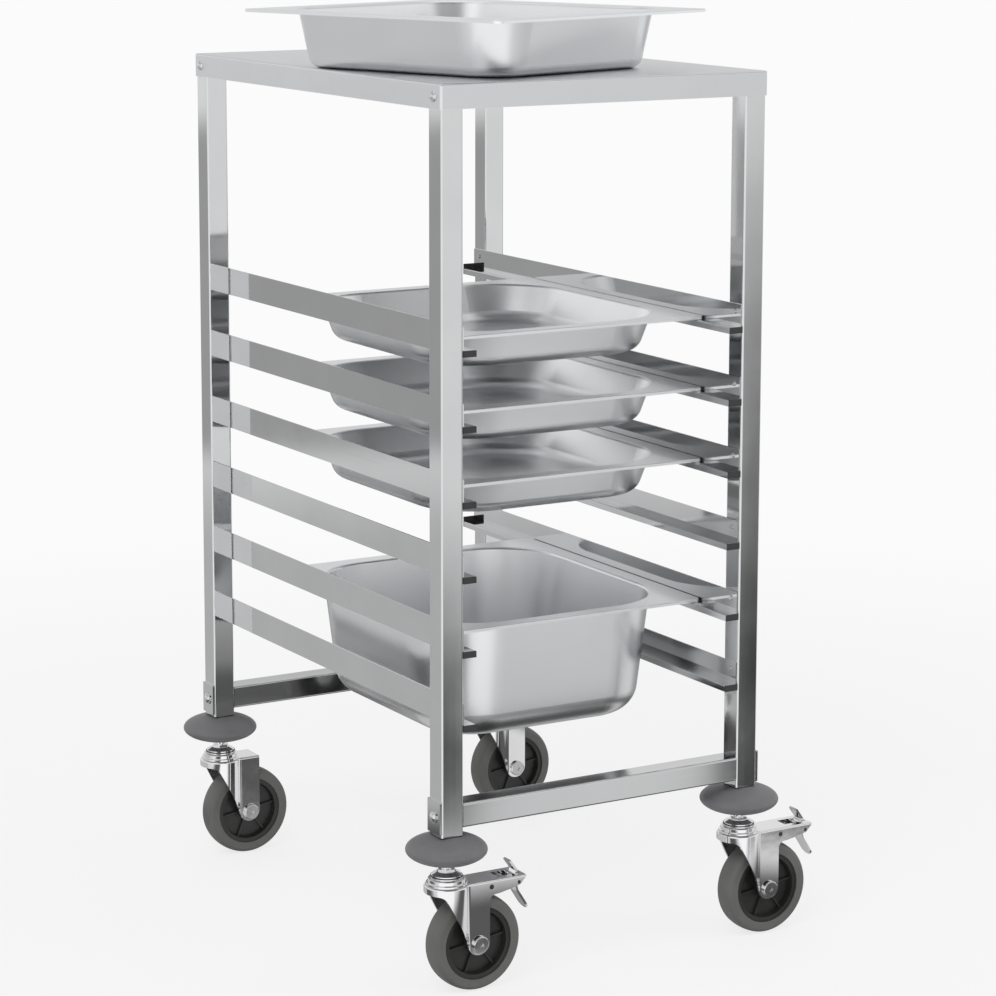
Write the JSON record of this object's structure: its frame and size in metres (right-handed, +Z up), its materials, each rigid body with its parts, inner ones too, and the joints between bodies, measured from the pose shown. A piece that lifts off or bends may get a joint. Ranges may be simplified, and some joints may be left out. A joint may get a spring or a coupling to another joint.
{
  "type": "gastronorm tray trolley",
  "caption": "Open stainless tray trolley on swivel casters with corner bumpers, side rails for gastronorm pans, hung pans, and a flat worktop with a loose pan.",
  "frame": {"origin": "on the floor, under the middle of the whole object's box", "axes": "+Z up, front (the open side from which the pans pull out and where the braked casters are) towards -Y, +X to the right seen from the front"},
  "size_m": [0.519, 0.608, 0.9773],
  "materials": {
    "worktop_steel": "satin stainless sheet",
    "frame_steel": "polished stainless tube",
    "rail_steel": "polished stainless sheet",
    "pan_steel": "satin pressed stainless",
    "fastener_steel": "bright steel",
    "caster_chrome": "bright zinc or chrome plate",
    "plug_plastic": "dark grey moulded plastic",
    "seal_rubber": "black seal",
    "bumper_rubber": "mid-grey rubber",
    "tyre_rubber": "grey non-marking rubber",
    "hub_plastic": "black moulded plastic"
  },
  "bodies": {
    "frame": {"worktop": "worktop_steel", "post_front_left": "frame_steel", "post_front_right": "frame_steel", "post_rear_left": "frame_steel", "post_rear_right": "frame_steel", "rail_left_1": "rail_steel", "rail_left_2": "rail_steel", "rail_left_3": "rail_steel", "rail_left_4": "rail_steel", "rail_left_5": "rail_steel", "rail_left_6": "rail_steel", "rail_right_1": "rail_steel", "rail_right_2": "rail_steel", "rail_right_3": "rail_steel", "rail_right_4": "rail_steel", "rail_right_5": "rail_steel", "rail_right_6": "rail_steel", "front_cross_bar": "frame_steel", "rear_cross_bar": "frame_steel", "strap_plates": "frame_steel", "rail_end_plugs": "plug_plastic", "rail_screws": "fastener_steel", "frame_bolts": "fastener_steel", "stem_sockets": "plug_plastic", "bumper_front_left": "bumper_rubber", "bumper_front_right": "bumper_rubber", "bumper_rear_left": "bumper_rubber", "bumper_rear_right": "bumper_rubber", "stem_front_left": "caster_chrome", "stem_front_right": "caster_chrome", "stem_rear_left": "caster_chrome", "stem_rear_right": "caster_chrome", "swivel_bearings": "seal_rubber"},
    "caster_front_left": {"fork_front_left": "caster_chrome", "axle_front_left": "fastener_steel", "brake_pins_front_left": "fastener_steel"},
    "wheel_front_left": {"hub_front_left": "hub_plastic", "tyre_front_left": "tyre_rubber"},
    "brake_lever_front_left": {"brake_lever_front_left": "caster_chrome"},
    "brake_shoe_front_left": {"brake_shoe_front_left": "fastener_steel"},
    "caster_front_right": {"fork_front_right": "caster_chrome", "axle_front_right": "fastener_steel", "brake_pins_front_right": "fastener_steel"},
    "wheel_front_right": {"hub_front_right": "hub_plastic", "tyre_front_right": "tyre_rubber"},
    "brake_lever_front_right": {"brake_lever_front_right": "caster_chrome"},
    "brake_shoe_front_right": {"brake_shoe_front_right": "fastener_steel"},
    "caster_rear_left": {"fork_rear_left": "caster_chrome", "axle_rear_left": "fastener_steel"},
    "wheel_rear_left": {"hub_rear_left": "hub_plastic", "tyre_rear_left": "tyre_rubber"},
    "caster_rear_right": {"fork_rear_right": "caster_chrome", "axle_rear_right": "fastener_steel"},
    "wheel_rear_right": {"hub_rear_right": "hub_plastic", "tyre_rear_right": "tyre_rubber"},
    "pan_1": {"shallow_pan_1": "pan_steel"},
    "pan_2": {"shallow_pan_2": "pan_steel"},
    "pan_3": {"shallow_pan_3": "pan_steel"},
    "pan_5": {"deep_pan": "pan_steel"},
    "top_pan": {"loose_pan": "pan_steel"}
  },
  "joints": [
    {"name": "swivel_front_left", "type": "hinge", "parent": "frame", "child": "caster_front_left", "pos_m": [-0.18827, -0.2625, 0.12], "axis": [0, 0, 1], "continuous": true},
    {"name": "wheel_spin_front_left", "type": "hinge", "parent": "caster_front_left", "child": "wheel_front_left", "pos_m": [-0.15827, -0.2625, 0.05], "axis": [0, 1, 0], "continuous": true},
    {"name": "brake_release_front_left", "type": "hinge", "parent": "caster_front_left", "child": "brake_lever_front_left", "pos_m": [-0.11277, -0.2625, 0.108], "axis": [0, 1, 0], "range_deg": [-45, 0]},
    {"name": "brake_shoe_lift_front_left", "type": "hinge", "parent": "caster_front_left", "child": "brake_shoe_front_left", "pos_m": [-0.14487, -0.2625, 0.1079], "axis": [0, 1, 0], "range_deg": [0, 8]},
    {"name": "swivel_front_right", "type": "hinge", "parent": "frame", "child": "caster_front_right", "pos_m": [0.16673, -0.2625, 0.12], "axis": [0, 0, 1], "continuous": true},
    {"name": "wheel_spin_front_right", "type": "hinge", "parent": "caster_front_right", "child": "wheel_front_right", "pos_m": [0.19673, -0.2625, 0.05], "axis": [0, 1, 0], "continuous": true},
    {"name": "brake_release_front_right", "type": "hinge", "parent": "caster_front_right", "child": "brake_lever_front_right", "pos_m": [0.24223, -0.2625, 0.108], "axis": [0, 1, 0], "range_deg": [-45, 0]},
    {"name": "brake_shoe_lift_front_right", "type": "hinge", "parent": "caster_front_right", "child": "brake_shoe_front_right", "pos_m": [0.21013, -0.2625, 0.1079], "axis": [0, 1, 0], "range_deg": [0, 8]},
    {"name": "swivel_rear_left", "type": "hinge", "parent": "frame", "child": "caster_rear_left", "pos_m": [-0.18827, 0.2625, 0.12], "axis": [0, 0, 1], "continuous": true},
    {"name": "wheel_spin_rear_left", "type": "hinge", "parent": "caster_rear_left", "child": "wheel_rear_left", "pos_m": [-0.15827, 0.2625, 0.05], "axis": [0, 1, 0], "continuous": true},
    {"name": "swivel_rear_right", "type": "hinge", "parent": "frame", "child": "caster_rear_right", "pos_m": [0.16673, 0.2625, 0.12], "axis": [0, 0, 1], "continuous": true},
    {"name": "wheel_spin_rear_right", "type": "hinge", "parent": "caster_rear_right", "child": "wheel_rear_right", "pos_m": [0.19673, 0.2625, 0.05], "axis": [0, 1, 0], "continuous": true},
    {"name": "shallow_pan_1_slide", "type": "slide", "parent": "frame", "child": "pan_1", "axis": [0, -1, 0], "range_m": [-0.129, 0.42]},
    {"name": "shallow_pan_2_slide", "type": "slide", "parent": "frame", "child": "pan_2", "axis": [0, -1, 0], "range_m": [-0.129, 0.42]},
    {"name": "shallow_pan_3_slide", "type": "slide", "parent": "frame", "child": "pan_3", "axis": [0, -1, 0], "range_m": [-0.129, 0.42]},
    {"name": "deep_pan_slide", "type": "slide", "parent": "frame", "child": "pan_5", "axis": [0, -1, 0], "range_m": [-0.129, 0.42]},
    {"name": "loose_pan_lift", "type": "slide", "parent": "frame", "child": "top_pan", "axis": [0, 0, 1], "range_m": [0, 0.2]}
  ],
  "couplings": [
    {"joint": "brake_shoe_lift_front_left", "follows": "brake_release_front_left", "ratio": -0.175},
    {"joint": "brake_shoe_lift_front_right", "follows": "brake_release_front_right", "ratio": -0.175}
  ]
}
